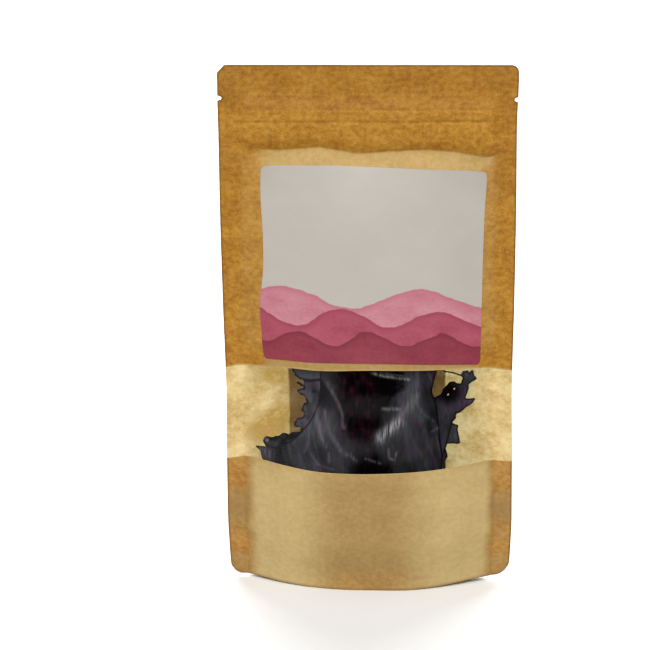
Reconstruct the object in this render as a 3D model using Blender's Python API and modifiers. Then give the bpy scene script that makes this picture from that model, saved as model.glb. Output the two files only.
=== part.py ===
"""A kraft paper stand-up pouch with a clear window, filled with dried dulse.

Metres, +Z up. The pouch stands on the bottom edges of its front and back panels. The
origin is on the floor under its middle, and the front faces -Y.

A place on a panel is given as on the flat, empty pouch: "across" from the middle line
and "up" from the bottom edge. panel_point() puts it where it is on the filled pouch.
"""
import bpy
from math import cos, exp, pi, radians, sin, sqrt
from mathutils import Vector

# The flat pouch
HEIGHT = 0.230
HALF_WIDTH = 0.065
SIDE_SEAL = 0.008
TOP_CORNER = 0.0036
BOTTOM_CORNER = 0.006
NOTCH_UP = 0.215
NOTCH_DEPTH = 0.0016
NOTCH_HALF_HEIGHT = 0.001
WINDOW_BOTTOM = 0.0545
WINDOW_TOP = 0.0970

# The filled pouch: (up, size) points that smooth curves pass through
HALF_DEPTHS = [(0, 0.0185), (0.022, 0.0215), (0.046, 0.0215), (0.072, 0.0165), (0.097, 0.0115),
               (0.140, 0.0090), (0.176, 0.0065), (0.187, 0.0035), (0.196, 0.0003), (0.230, 0)]
HALF_WIDTHS = [(0, 0.0622), (0.015, 0.0629), (0.031, 0.0634), (0.060, 0.0634), (0.083, 0.0632),
               (0.127, 0.0641), (0.171, 0.0647), (0.200, 0.0648), (0.215, 0.0650), (0.230, 0.0650)]
CORNER_LIFT = 0.0012
CORNER_LIFT_REACH = 0.022
SEALED_HALF_GAP = 0.00015
GUSSET_HALF_GAP = 0.0009
GUSSET_GAP_FADE = (0.046, 0.034)

# The sheets and the gaps between them, then how far each lies outside the inner face
SHEET = 0.00025
LABEL_SHEET = 0.0002
GAP = 0.0003
LABEL_GAP = 0.0004
FILM_OUT = SHEET / 2
PAPER_OUT = FILM_OUT + SHEET + GAP
LABEL_OUT = PAPER_OUT + SHEET / 2 + LABEL_GAP + LABEL_SHEET / 2
BACK_LABEL_OUT = FILM_OUT + SHEET / 2 + LABEL_GAP + LABEL_SHEET / 2
GUSSET_GAP = 0.0005
GUSSET_IN = GUSSET_GAP + SHEET / 2

# Grid lines that all the panels share. Columns past the square ones follow the outline.
COLUMNS = [0, 0.012, 0.0235, 0.033, 0.041, 0.048, 0.053, 0.057, 0.065]
ROWS = [0, 0.0012, 0.0045, 0.009, 0.020, 0.034, 0.045, WINDOW_BOTTOM, 0.068, 0.082, WINDOW_TOP,
        0.112, 0.130, 0.148, 0.164, 0.176, 0.187, 0.196, 0.200, 0.210, 0.214, 0.215, 0.216,
        0.2264, 0.2283, 0.2295, HEIGHT]
SQUARE_COLUMNS = 0.048

# Bottom gusset: its seal line and its fold, at the middle and at the side seals
GUSSET_SEAL = (0.0030, 0.0280)
GUSSET_FOLD = (0.0045, 0.0350)
GUSSET_FLOOR_STEPS = 8

# Zip: the band that bulges round it, and the two tracks
ZIP_UP = 0.205
ZIP_BULGE = 0.00125
ZIP_BULGE_FOOT = (0.196, 0.200)
ZIP_BULGE_TOP = (0.214, 0.210)
ZIP_BULGE_SIDE = (0.057, 0.053)
ZIP_HALF_LENGTH = 0.0525
ZIP_HALF_HEIGHT = 0.0045

# Labels: middle, half size and tilt
FRONT_LABEL = dict(across=0.0024, up=0.1428, half_width=0.0493, half_height=0.0427, tilt=-0.8)
BACK_LABEL = dict(across=-0.0014, up=0.0950, half_width=0.0360, half_height=0.0550, tilt=0)
LABEL_COLUMNS = 12
LABEL_ROWS = 10

# Dulse: crumpled blades that lie one behind another and fill the lower half of the pouch.
# One blade a line: across and up of its foot, length, widest half width, lean in degrees.
BLADES = [
    (0.002, 0.0075, 0.094, 0.032, 2),
    (-0.005, 0.0090, 0.084, 0.027, -10),
    (0.005, 0.0080, 0.090, 0.028, 10),
    (-0.004, 0.0070, 0.092, 0.030, -5),
    (0.006, 0.0110, 0.086, 0.026, 11),
    (-0.005, 0.0085, 0.088, 0.027, -10),
    (0.002, 0.0065, 0.096, 0.031, 5),
    (0.004, 0.0095, 0.086, 0.028, 9),
    (-0.004, 0.0080, 0.090, 0.030, -7),
    (0.000, 0.0070, 0.094, 0.031, 2),
]
BLADE_SHEET = 0.00022
BLADE_CLEARANCE = 0.0012
BLADE_LEAST_GAP = 0.0008
BLADE_SPREAD = (0.006, 0.045)
BLADE_WAVE = 0.042
BLADE_FOLD = 0.3
BLADE_LOBES = 2.6
BLADE_LOBE_DEPTH = 0.22
BLADE_SHOULDER = 0.10
BLADE_COLUMNS = 10
BLADE_ROWS = 15


def smooth_curve(points, at):
    """Value at "at" of a monotone cubic curve through (place, value) points."""
    places = [point[0] for point in points]
    values = [point[1] for point in points]
    slopes = [(values[i + 1] - values[i]) / (places[i + 1] - places[i])
              for i in range(len(points) - 1)]
    bends = [0.0]
    for before, after in zip(slopes, slopes[1:]):
        bends.append(2 * before * after / (before + after) if before * after > 0 else 0.0)
    bends.append(0.0)
    at = min(max(at, places[0]), places[-1])
    i = max(k for k in range(len(slopes)) if places[k] <= at)
    step = places[i + 1] - places[i]
    t = (at - places[i]) / step
    return ((2 * t**3 - 3 * t**2 + 1) * values[i] + (t**3 - 2 * t**2 + t) * step * bends[i]
            + (3 * t**2 - 2 * t**3) * values[i + 1] + (t**3 - t**2) * step * bends[i + 1])


def ramp(start, end, at):
    """0 before start, 1 after end, smooth between; start may be the larger one."""
    t = min(max((at - start) / (end - start), 0), 1)
    return t * t * (3 - 2 * t)


def lens(across):
    """How far a filled panel bulges, from 1 on the middle line to 0 at the side seals."""
    t = min(abs(across) / (HALF_WIDTH - SIDE_SEAL), 1)
    return (1 - t**2.5) ** 1.25


def half_gap(across, up):
    """Distance from the middle plane to the inner face of a panel."""
    sealed = SEALED_HALF_GAP + (GUSSET_HALF_GAP - SEALED_HALF_GAP) * ramp(*GUSSET_GAP_FADE, up)
    at_zip = ramp(*ZIP_BULGE_FOOT, up) * ramp(*ZIP_BULGE_TOP, up) * ramp(*ZIP_BULGE_SIDE, abs(across))
    return sealed + smooth_curve(HALF_DEPTHS, up) * lens(across) + ZIP_BULGE * at_zip


def panel_point(across, up, side):
    """A place on the inner face of the front (side -1) or back (side 1) panel."""
    inner = HALF_WIDTH - SIDE_SEAL
    outline = smooth_curve(HALF_WIDTHS, up)
    reach = outline - SIDE_SEAL
    x = min(abs(across) / inner, 1) * reach + max(abs(across) - inner, 0)
    lift = CORNER_LIFT * exp(-((up / CORNER_LIFT_REACH) ** 2)) * (1 - lens(across))
    return Vector((x if across >= 0 else -x, side * half_gap(across, up), up + lift))


def panel_offset(across, up, side, out):
    """A place at the distance "out" outside a panel's inner face."""
    step = 0.0004
    along = panel_point(across + step, up, side) - panel_point(across - step, up, side)
    rise = panel_point(across, up + step, side) - panel_point(across, max(up - step, 0), side)
    normal = along.cross(rise).normalized()
    return panel_point(across, up, side) - side * normal * out


def outline_at(up):
    """Half width of the flat pouch, with its round corners and tear notches."""
    if up > HEIGHT - TOP_CORNER:
        rise = up - (HEIGHT - TOP_CORNER)
        return HALF_WIDTH - TOP_CORNER + sqrt(max(TOP_CORNER**2 - rise**2, 0))
    if up < BOTTOM_CORNER:
        drop = BOTTOM_CORNER - up
        return HALF_WIDTH - BOTTOM_CORNER + sqrt(max(BOTTOM_CORNER**2 - drop**2, 0))
    notch = max(1 - abs(up - NOTCH_UP) / NOTCH_HALF_HEIGHT, 0)
    return HALF_WIDTH - NOTCH_DEPTH * notch


def fit_to_outline(across, up):
    """Move the outer columns in, so that the last one follows the outline."""
    outside = abs(across) - SQUARE_COLUMNS
    if outside <= 0:
        return across
    fitted = SQUARE_COLUMNS + outside * (outline_at(up) - SQUARE_COLUMNS) / (HALF_WIDTH - SQUARE_COLUMNS)
    return fitted if across > 0 else -fitted


def both_sides(columns):
    """Columns of the right half, mirrored to the left."""
    return [-column for column in reversed(columns) if column > 0] + columns


def rows_between(low, high):
    return [row for row in ROWS if low <= row <= high]


def material(name, colour, roughness, alpha=1.0):
    """A plain Principled material."""
    new = bpy.data.materials.new(name)
    new.use_nodes = True
    shader = new.node_tree.nodes["Principled BSDF"]
    shader.inputs["Base Color"].default_value = (*colour, 1)
    shader.inputs["Roughness"].default_value = roughness
    shader.inputs["Metallic"].default_value = 0
    shader.inputs["Alpha"].default_value = alpha
    return new


def finish(obj, name, look, collection):
    """Name an object, give it its material and file it in the object's collection."""
    obj.name = name
    obj.data.name = name
    obj.data.materials.append(look)
    for other in list(obj.users_collection):
        other.objects.unlink(obj)
    collection.objects.link(obj)
    return obj


def sheet(name, columns, rows, place, thickness, look, collection):
    """A thin sheet: a grid whose crossing of a column and a row lies at place(column, row)."""
    width, height = len(columns) - 1, len(rows) - 1
    bpy.ops.mesh.primitive_grid_add(x_subdivisions=width, y_subdivisions=height, size=2)
    grid = bpy.context.object
    for vertex in grid.data.vertices:
        column = columns[round((vertex.co.x + 1) / 2 * width)]
        row = rows[round((vertex.co.y + 1) / 2 * height)]
        vertex.co = place(column, row)
    diagonals = grid.modifiers.new("Diagonals", "TRIANGULATE")
    diagonals.quad_method = "SHORTEST_DIAGONAL"
    solidify = grid.modifiers.new("Thickness", "SOLIDIFY")
    solidify.thickness = thickness
    solidify.offset = 0
    grid.data.shade_smooth()
    return finish(grid, name, look, collection)


def panel(name, low, high, side, out, look, collection):
    """Part of the front or back panel, between two heights and across its whole width."""
    def place(across, up):
        return panel_offset(fit_to_outline(across, up), up, side, out)
    return sheet(name, both_sides(COLUMNS), rows_between(low, high), place, SHEET, look, collection)


def label(name, size, side, out, look, collection):
    """A rectangular label that follows the outside of a panel."""
    columns = [2 * i / LABEL_COLUMNS - 1 for i in range(LABEL_COLUMNS + 1)]
    rows = [2 * i / LABEL_ROWS - 1 for i in range(LABEL_ROWS + 1)]
    turn = radians(size["tilt"])

    def place(column, row):
        right = column * size["half_width"]
        high = row * size["half_height"]
        across = size["across"] + right * cos(turn) - high * sin(turn)
        up = size["up"] + right * sin(turn) + high * cos(turn)
        return panel_offset(across, up, side, out)
    return sheet(name, columns, rows, place, LABEL_SHEET, look, collection)


def gusset_line(ends, across, power):
    """Height of a line on the gusset, from its middle to the side seals."""
    t = min(abs(across) / (HALF_WIDTH - SIDE_SEAL), 1)
    return ends[0] + (ends[1] - ends[0]) * t**power


def bottom_gusset(look, collection):
    """The folded sheet that makes the floor: a leg inside each panel and the span between.

    Its rows run from the front bottom edge (0) up the front leg (1), over the floor
    (1 to 2) and down the back leg (3).
    """
    front_leg = [0, 0.05, 0.18, 0.36]  # close at the foot, where the corners are round
    floor_rows = [1 + i / GUSSET_FLOOR_STEPS for i in range(GUSSET_FLOOR_STEPS + 1)]
    back_leg = [3 - row for row in reversed(front_leg)]
    rows = front_leg + floor_rows + back_leg

    def place(column, row):
        seal = gusset_line(GUSSET_SEAL, column, 3)
        fold = gusset_line(GUSSET_FOLD, column, 2.5)
        across = fit_to_outline(column, seal)
        if row < 1 or row > 2:
            up = seal * min(row, 3 - row)
            side = -1 if row < 1 else 1
            return panel_offset(fit_to_outline(column, up), up, side, -GUSSET_IN)
        # An arch over the floor, round in the middle and nearly square in the side seals,
        # where its two legs lie close together
        edge = panel_offset(across, seal, 1, -GUSSET_IN)
        turn = pi * (row - 1)
        power = 1 / (1 + 3 * min(abs(column) / (HALF_WIDTH - SIDE_SEAL), 1) ** 6)
        swing = abs(cos(turn)) ** power * (-1 if cos(turn) > 0 else 1)
        rise = abs(sin(turn)) ** power
        return Vector((edge.x, swing * edge.y, edge.z + (fold - seal) * rise))
    return sheet("bottom_gusset", both_sides(COLUMNS), rows, place, SHEET, look, collection)


def zip_track(name, side, ribs, look, collection):
    """A press-to-close track: a flat band with ribs, extruded across the pouch.

    ribs is the outline of the inner face, as (depth from the middle plane, up) points.
    """
    outer = SEALED_HALF_GAP + ZIP_BULGE - GAP
    outline = [(outer, -ZIP_HALF_HEIGHT), (outer, ZIP_HALF_HEIGHT)] + ribs
    curve = bpy.data.curves.new(name, "CURVE")
    curve.dimensions = "2D"
    curve.fill_mode = "BOTH"
    curve.extrude = ZIP_HALF_LENGTH
    spline = curve.splines.new("POLY")
    spline.points.add(len(outline) - 1)
    for point, (depth, up) in zip(spline.points, outline):
        point.co = (side * depth, up, 0, 1)
    spline.use_cyclic_u = True
    track = bpy.data.objects.new(name, curve)
    track.location = (0, 0, ZIP_UP)
    track.rotation_euler = (pi / 2, 0, pi / 2)
    return finish(track, name, look, collection)


def zip_ribs():
    """Inner faces of the grooved and the ribbed track, from the top edge to the bottom."""
    face = SEALED_HALF_GAP + ZIP_BULGE - GAP - SHEET
    top = ZIP_HALF_HEIGHT
    groove_outer, groove_inner, groove_lip = 0.0012, 0.00065, 0.0004
    lip_depth, tip_depth = -0.0001, -0.00035
    wall = [(face, groove_outer), (tip_depth, groove_outer), (tip_depth, groove_lip),
            (lip_depth, groove_lip), (lip_depth, groove_inner), (face, groove_inner)]
    mirrored = [(depth, -up) for depth, up in reversed(wall)]
    groove = [(face, top), *wall, *mirrored, (face, -top)]
    stem, head, neck_depth, head_depth = 0.00025, 0.0005, -0.00005, -0.00035
    arrow = [(face, stem), (neck_depth, stem), (neck_depth, head), (head_depth, stem)]
    mirrored = [(depth, -up) for depth, up in reversed(arrow)]
    rib = [(face, top), *arrow, *mirrored, (face, -top)]
    return groove, rib


def heap_depth(k, across, up):
    """Where blade k lies between the panels at a place, negative towards the front.

    The blades lie close together at their feet and spread as they rise. The gaps between
    neighbours open and close in waves, so that the blades crumple without crossing.
    """
    gaps = len(BLADES) - 1
    room = 2 * (half_gap(across, up) - BLADE_CLEARANCE)
    least = min(BLADE_LEAST_GAP, 0.6 * room / gaps)
    waves = []
    for i in range(gaps):
        turn = 2.4 * i
        phase = 2 * pi * (across * cos(turn) + up * sin(turn)) / BLADE_WAVE + 1.7 * i
        waves.append(1 + 0.6 * sin(phase))
    spread = ramp(*BLADE_SPREAD, up)
    stack = least * gaps + (room - least * gaps) * spread
    depth = least * k + (stack - least * gaps) * sum(waves[:k]) / sum(waves)
    share = depth / stack
    fold = BLADE_FOLD * sin(2 * pi * across / BLADE_WAVE + sin(2 * pi * up / BLADE_WAVE))
    return depth - stack / 2 + fold * stack * share * (1 - share)


def blade_breadth(row):
    """Breadth of a blade from its narrow foot (row 0) to its blunt tip (row 1), as a share."""
    return 0.2 + 0.8 * sin(0.82 * pi * row**1.1) ** 0.9


def blade(k, look, collection):
    """One blade of dulse: narrow at its foot, broad and lobed above."""
    foot_across, foot_up, length, half_width, lean = BLADES[k]
    columns = [2 * i / BLADE_COLUMNS - 1 for i in range(BLADE_COLUMNS + 1)]
    rows = [i / BLADE_ROWS for i in range(BLADE_ROWS + 1)]

    def place(column, row):
        lobe_shift = k + (2 if column > 0 else 0)
        lobes = 1 + BLADE_LOBE_DEPTH * sin(2 * pi * BLADE_LOBES * row + lobe_shift)
        right = column * half_width * blade_breadth(row) * lobes
        high = row * length * (1 - BLADE_SHOULDER * column**2)
        turn = radians(lean)
        across = foot_across + right * cos(turn) + high * sin(turn)
        up = foot_up - right * sin(turn) + high * cos(turn)
        point = panel_point(across, up, 1)
        point.y = heap_depth(k, across, up)
        return point
    return sheet(f"dulse_blade_{k + 1:02d}", columns, rows, place, BLADE_SHEET, look, collection)


def build():
    for obj in list(bpy.data.objects):
        bpy.data.objects.remove(obj, do_unlink=True)
    pouch = bpy.data.collections.new("dulse_pouch")
    bpy.context.scene.collection.children.link(pouch)

    film = material("clear film", (0.9, 0.88, 0.82), 0.15, alpha=0.35)
    panel("front_film", 0, HEIGHT, -1, FILM_OUT, film, pouch)
    upper_look = material("upper kraft paper", (0.42, 0.22, 0.06), 0.8)
    panel("front_paper_upper", WINDOW_TOP, HEIGHT, -1, PAPER_OUT, upper_look, pouch)
    lower_look = material("lower kraft paper", (0.43, 0.28, 0.11), 0.75)
    panel("front_paper_lower", 0, WINDOW_BOTTOM, -1, PAPER_OUT, lower_look, pouch)
    back_look = material("kraft laminate", (0.42, 0.22, 0.06), 0.7)
    panel("back_panel", 0, HEIGHT, 1, FILM_OUT, back_look, pouch)
    bottom_gusset(material("gusset laminate", (0.45, 0.28, 0.10), 0.6), pouch)

    groove, rib = zip_ribs()
    zip_look = material("zip plastic", (0.85, 0.85, 0.82), 0.35)
    zip_track("zip_track_front", -1, groove, zip_look, pouch)
    zip_track("zip_track_back", 1, rib, zip_look.copy(), pouch)

    label_look = material("label paper", (0.56, 0.50, 0.46), 0.6)
    label("front_label", FRONT_LABEL, -1, LABEL_OUT, label_look, pouch)
    label("back_label", BACK_LABEL, 1, BACK_LABEL_OUT, label_look.copy(), pouch)

    for k in range(len(BLADES)):
        blade(k, material(f"dulse {k + 1}", (0.045, 0.022, 0.032), 0.55), pouch)


build()
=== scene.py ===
"""Looks for a kraft paper stand-up pouch with a clear window, filled with dried dulse.

Metres, +Z up. The pouch stands at the origin and its front faces -Y.

A place on the pouch is given as on the flat, empty pouch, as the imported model's source
does: "across" from the middle line and "up" from the bottom edge. front_place() and
back_place() put it where it is on the filled pouch, with the sheets' small folds.
"""

from math import cos, pi, radians, sin, tan

import bpy
import numpy as np
from mathutils import Matrix, Vector

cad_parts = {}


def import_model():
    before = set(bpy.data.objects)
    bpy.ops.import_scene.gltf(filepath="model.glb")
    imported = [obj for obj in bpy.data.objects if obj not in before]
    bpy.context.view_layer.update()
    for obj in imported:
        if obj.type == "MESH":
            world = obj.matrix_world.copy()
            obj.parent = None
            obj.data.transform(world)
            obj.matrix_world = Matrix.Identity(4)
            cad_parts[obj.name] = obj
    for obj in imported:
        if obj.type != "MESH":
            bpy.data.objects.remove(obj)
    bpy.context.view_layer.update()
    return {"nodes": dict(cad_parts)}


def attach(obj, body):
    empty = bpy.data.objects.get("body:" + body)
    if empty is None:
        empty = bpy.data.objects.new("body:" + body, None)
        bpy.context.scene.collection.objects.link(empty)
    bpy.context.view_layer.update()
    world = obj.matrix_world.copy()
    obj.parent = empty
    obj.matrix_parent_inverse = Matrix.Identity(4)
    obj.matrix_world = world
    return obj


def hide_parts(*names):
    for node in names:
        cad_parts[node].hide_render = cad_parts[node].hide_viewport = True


# The pouch's driving sizes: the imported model's, with finer corners, notches and depths
HEIGHT = 0.230
HALF_WIDTH = 0.065
SIDE_SEAL = 0.008
POCKET = HALF_WIDTH - SIDE_SEAL
TOP_CORNER = 0.0034
CUT_CORNER = 0.0005  # rounding of the left top corner, which is cut straight
LEFT_FOOT_CORNER, RIGHT_FOOT_CORNER = 0.0055, 0.0075
LEFT_NOTCH_UP, RIGHT_NOTCH_UP = 0.2155, 0.2150
LEFT_NOTCH_DEPTH, RIGHT_NOTCH_DEPTH = 0.0019, 0.0015
NOTCH_HALF_HEIGHT = 0.0010
HALF_DEPTHS = [(0, 0.0185), (0.022, 0.0215), (0.046, 0.0215), (0.072, 0.0165), (0.097, 0.0115),
               (0.140, 0.0090), (0.158, 0.0080), (0.170, 0.0070), (0.179, 0.0056), (0.187, 0.0036),
               (0.196, 0.0003), (0.230, 0)]
HALF_WIDTHS = [(0, 0.0622), (0.015, 0.0629), (0.031, 0.0634), (0.060, 0.0634), (0.083, 0.0632),
               (0.127, 0.0641), (0.171, 0.0647), (0.200, 0.0648), (0.215, 0.0650), (0.230, 0.0650)]
LEFT_CORNER_LIFT, RIGHT_CORNER_LIFT = 0.0012, 0.0022
CORNER_LIFT_REACH = 0.022
RIGHT_FLARE = 0.0006
SEALED_HALF_GAP = 0.00015
GUSSET_HALF_GAP = 0.0009
GUSSET_GAP_FADE = (0.046, 0.034)
GUSSET_SEAL = (0.0030, 0.0280)
GUSSET_FOLD = (0.0045, 0.0350)
GUSSET_UV_ROW = 0.012
ZIP_BULGE = 0.00125
ZIP_BULGE_FOOT = (0.1948, 0.2004)
ZIP_BULGE_TOP = (0.2165, 0.2098)
ZIP_BULGE_SIDE = (0.057, 0.053)
CREASE_UP = 0.196
# The lines that the zip presses into a panel: height, half width, depth
ZIP_GROOVES = [(0.2050, 0.00070, 0.00024), (0.2102, 0.00050, 0.00008)]
FUSED_SIDE = (0.0560, 0.0576)
FUSED_TOP = (0.2165, 0.2180)
FRONT_LABEL = dict(across=0.0024, up=0.1428, half_width=0.0493, half_height=0.0427, tilt=-0.8)
BACK_LABEL = dict(across=-0.0014, up=0.0950, half_width=0.0360, half_height=0.0550, tilt=0)
LABEL_CORNER = 0.002
# How far the front label's edges lie from straight, as (place, offset) points in millimetres
LABEL_EDGES = dict(
    top=[(-49, -0.1), (-42, 0.3), (-30, 0.5), (-16, 0.7), (0, 0.3), (14, -0.05), (27, -0.3), (40, -0.55),
         (49, -1.0)],
    bottom=[(-49, 0.15), (-41, 0.3), (-28, 0.05), (-16, 0.3), (-5, 0.45), (10, 0.55), (28, 0.2), (43, -0.3),
            (49, -0.6)],
    left=[(-42, 0.6), (-37, 0.2), (-30, -0.2), (-22, -0.7), (-16, -0.6), (-10, 0.2), (-4, 0.9), (3, 1.15),
          (10, 1.1), (17, 0.8), (24, 0.3), (30, -0.05), (36, -0.15), (42, -0.05)],
    right=[(-43, -0.6), (-33, -0.7), (-13, -0.9), (3, -1.0), (20, -0.95), (30, -0.6), (36, -0.25),
           (42, -0.15)])

# The visible edges of the front sheets: (across, up) points of smooth curves
WINDOW_TOP = [(-0.065, 0.0960), (-0.059, 0.0970), (-0.036, 0.0975), (-0.021, 0.0970), (0.002, 0.0976),
              (0.029, 0.0974), (0.051, 0.0972), (0.065, 0.0958)]
WINDOW_BOTTOM = [(-0.065, 0.0549), (-0.055, 0.0561), (-0.038, 0.0550), (-0.019, 0.0538),
                 (-0.004, 0.0537), (0.011, 0.0540), (0.043, 0.0550), (0.054, 0.0556), (0.065, 0.0550)]
WINDOW_TOP_END, WINDOW_BOTTOM_END = 0.0970, 0.0548
CREASE = [(-0.065, 0.1935), (-0.050, 0.1939), (-0.039, 0.1935), (-0.028, 0.1941), (-0.0215, 0.1946),
          (-0.015, 0.1938), (-0.0115, 0.1933), (-0.008, 0.1926), (-0.004, 0.1920), (0.0005, 0.1922),
          (0.006, 0.1927), (0.014, 0.1931), (0.024, 0.1936), (0.038, 0.1928), (0.0459, 0.1915),
          (0.0528, 0.1906), (0.0574, 0.1922), (0.065, 0.1925)]

# How blotchy and warm the side seals are, as (up, share) points
SEAL_WARMTH = [(0, 0.0), (0.006, 0.1), (0.014, 0.9), (0.022, 0.9), (0.028, 0.0), (0.038, 0.0),
               (0.044, 1.0), (0.056, 1.0), (0.1, 0.3), (0.2, 0.3)]

# The fine sheets: thickness, then how far each one's middle lies outside the inner face
FILM, PAPER, STICKER, LAMINATE = 0.00006, 0.00016, 0.00010, 0.00020
FILM_OUT = 0.00005
PAPER_OUT = 0.00030
STICKER_OUT = 0.00051
LAMINATE_OUT = 0.00010
BACK_STICKER_OUT = 0.00032
GUSSET_IN = 0.00020
FUSED_HALF_GAP = 0.00003
FUSED_GUSSET_HALF_GAP = 0.00026
FUSED_GAP_FADE = (0.0385, 0.0350)
PRESSED = 0.6  # share of its distance that a layer keeps where the panels are fused

# Cell sizes of the shared panel grid, as (place, size) points
COLUMN_CELLS = [(0, 0.0012), (0.055, 0.0012), (0.057, 0.0006), (0.065, 0.0005)]
ROW_CELLS = [(0, 0.0007), (0.012, 0.0011), (0.184, 0.0011), (0.188, 0.0006), (0.200, 0.0005),
             (0.2125, 0.0004), (0.2135, 0.00025), (0.2165, 0.00025), (0.218, 0.0008), (0.226, 0.0008),
             (0.2275, 0.0005)]
EDGE_REACH = (0.030, 0.005)
ROWS_BESIDE_EDGE = [-0.0008, -0.0004, 0.0004, 0.0008]
LABEL_CELLS = [(0, 0.0011)]
LABEL_MARGIN = 0.001

UV_PER_METRE = 10
LEAST_STEEPNESS = 0.2  # keeps trim() from moving points far where an outline's distance is flat
TINY = 1e-18


# ---------------------------------------------------------------- shapes in numbers

def smooth_curve(points, at):
    """Value at "at" of a monotone cubic curve through (place, value) points."""
    places, values = np.array(points, float).T
    slopes = np.diff(values) / np.diff(places)
    product = slopes[:-1] * slopes[1:]
    total = slopes[:-1] + slopes[1:]
    inner = np.where(product > 0, 2 * product / np.where(total == 0, 1, total), 0)
    bends = np.concatenate([[0], inner, [0]])
    at = np.clip(at, places[0], places[-1])
    i = np.clip(np.searchsorted(places, at, side="right") - 1, 0, len(slopes) - 1)
    step = places[i + 1] - places[i]
    t = (at - places[i]) / step
    return ((2 * t**3 - 3 * t**2 + 1) * values[i] + (t**3 - 2 * t**2 + t) * step * bends[i]
            + (3 * t**2 - 2 * t**3) * values[i + 1] + (t**3 - t**2) * step * bends[i + 1])


def ramp(start, end, at):
    """0 before start, 1 after end, smooth between; start may be the larger one."""
    t = np.clip((at - start) / (end - start), 0, 1)
    return t * t * (3 - 2 * t)


def band(start, full, fade, end, at):
    """0 before start and after end, 1 from full to fade, smooth between."""
    return ramp(start, full, at) * ramp(end, fade, at)


def hump(middle, width, at):
    """A round bump of height 1 and about twice that width."""
    return np.exp(-(((at - middle) / width) ** 2))


def waves(x, y, seed, octaves=1):
    """Smooth random waves between about -1 and 1, one a unit, with finer ones for more octaves."""
    total = 0
    for octave in range(octaves):
        lattice = np.random.default_rng(seed + octave).uniform(-1, 1, (64, 64))
        px, py = np.asarray(x, float) * 2**octave, np.asarray(y, float) * 2**octave
        i, j = np.floor(px).astype(int), np.floor(py).astype(int)
        u, v = px - i, py - j
        u, v = u * u * (3 - 2 * u), v * v * (3 - 2 * v)
        near = lattice[i % 64, j % 64] * (1 - u) + lattice[(i + 1) % 64, j % 64] * u
        far = lattice[i % 64, (j + 1) % 64] * (1 - u) + lattice[(i + 1) % 64, (j + 1) % 64] * u
        total = total + (near * (1 - v) + far * v) / 2**octave
    return total * 1.3


def pocket_share(across):
    """0 on the middle line, 1 from the side seals outwards."""
    return np.minimum(np.abs(across) / POCKET, 1)


def lens(across):
    """How far a filled panel bulges, from 1 on the middle line to 0 at the side seals."""
    return (1 - pocket_share(across) ** 2.5) ** 1.25


def sealed_half_gap(up):
    return SEALED_HALF_GAP + (GUSSET_HALF_GAP - SEALED_HALF_GAP) * ramp(*GUSSET_GAP_FADE, up)


def half_gap(across, up):
    """Distance from the middle plane to the inner face of a panel, before its small folds."""
    at_zip = ramp(*ZIP_BULGE_FOOT, up) * ramp(*ZIP_BULGE_TOP, up) * ramp(*ZIP_BULGE_SIDE, np.abs(across))
    return sealed_half_gap(up) + smooth_curve(HALF_DEPTHS, up) * lens(across) + ZIP_BULGE * at_zip


def crease_shift(across, up, amount):
    """How much higher in the smooth shape a place lies, so that the crease winds."""
    reach = band(0.168, 0.189, 0.1965, 0.2060, up)
    return amount * (CREASE_UP - smooth_curve(CREASE, across)) * reach


def fused(across, up):
    """1 where the panels are sealed to each other, 0 in the pocket."""
    return np.maximum(ramp(*FUSED_SIDE, np.abs(across)), ramp(*FUSED_TOP, up))


def seal_closing(across, up):
    """How far each panel moves in where the panels are fused."""
    gap = FUSED_HALF_GAP + (FUSED_GUSSET_HALF_GAP - FUSED_HALF_GAP) * ramp(*FUSED_GAP_FADE, up)
    return fused(across, up) * (sealed_half_gap(up) - gap)


def pressed(across, up, out):
    """A layer's distance from the inner face, with the layers pressed together where they are fused."""
    return out * (1 + (PRESSED - 1) * fused(across, up))


def pocket_folds(across, up, seed):
    """Small folds of a filled panel, which fade towards its seals."""
    full = np.minimum(lens(across) * 3, 1) * ramp(0.199, 0.186, up)
    taut = 1 - 0.85 * band(0.046, 0.058, 0.098, 0.108, up) - 0.4 * ramp(0.108, 0.120, up)
    soft = 0.00034 * waves(across / 0.022, up / 0.026, seed)
    fine = 0.00010 * waves(across / 0.008, up / 0.010, seed + 10, 2)
    upright = 0.00022 * waves(across / 0.009, up / 0.060, seed + 20) * ramp(0.060, 0.045, up)
    small = 0.00002 * waves(across / 0.006, up / 0.004, seed + 30, 2)
    return taut * (full * (soft + fine + upright) + small)


def zip_height(across, up):
    """Height against the zip's lines, which lie a little higher at the right."""
    return up - 0.0002 - 0.0004 * ramp(0.015, 0.045, across)


def zip_lines(across, up, seed):
    """Relief of the lines that the zip presses into a panel."""
    beside = ramp(0.0545, 0.0515, np.abs(across))
    bend = 0.00025 * waves(across / 0.012, 0.5 + 0 * up, seed, 2)
    strength = 1 + 0.4 * waves(across / 0.010, 0.5 + 0 * up, seed + 5)
    height = zip_height(across, up) - bend
    return -beside * strength * sum(depth * hump(at, half, height) for at, half, depth in ZIP_GROOVES)


def front_inner(across, up):
    """A place on the front panel's inner face."""
    return pouch_point(across, up, -half_gap(across, up + crease_shift(across, up, 1)))


def back_inner(across, up):
    """A place on the back panel's inner face. Its crease is calmer than the front one."""
    return pouch_point(across, up, half_gap(across, up + crease_shift(-across, up, 0.4)))


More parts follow.
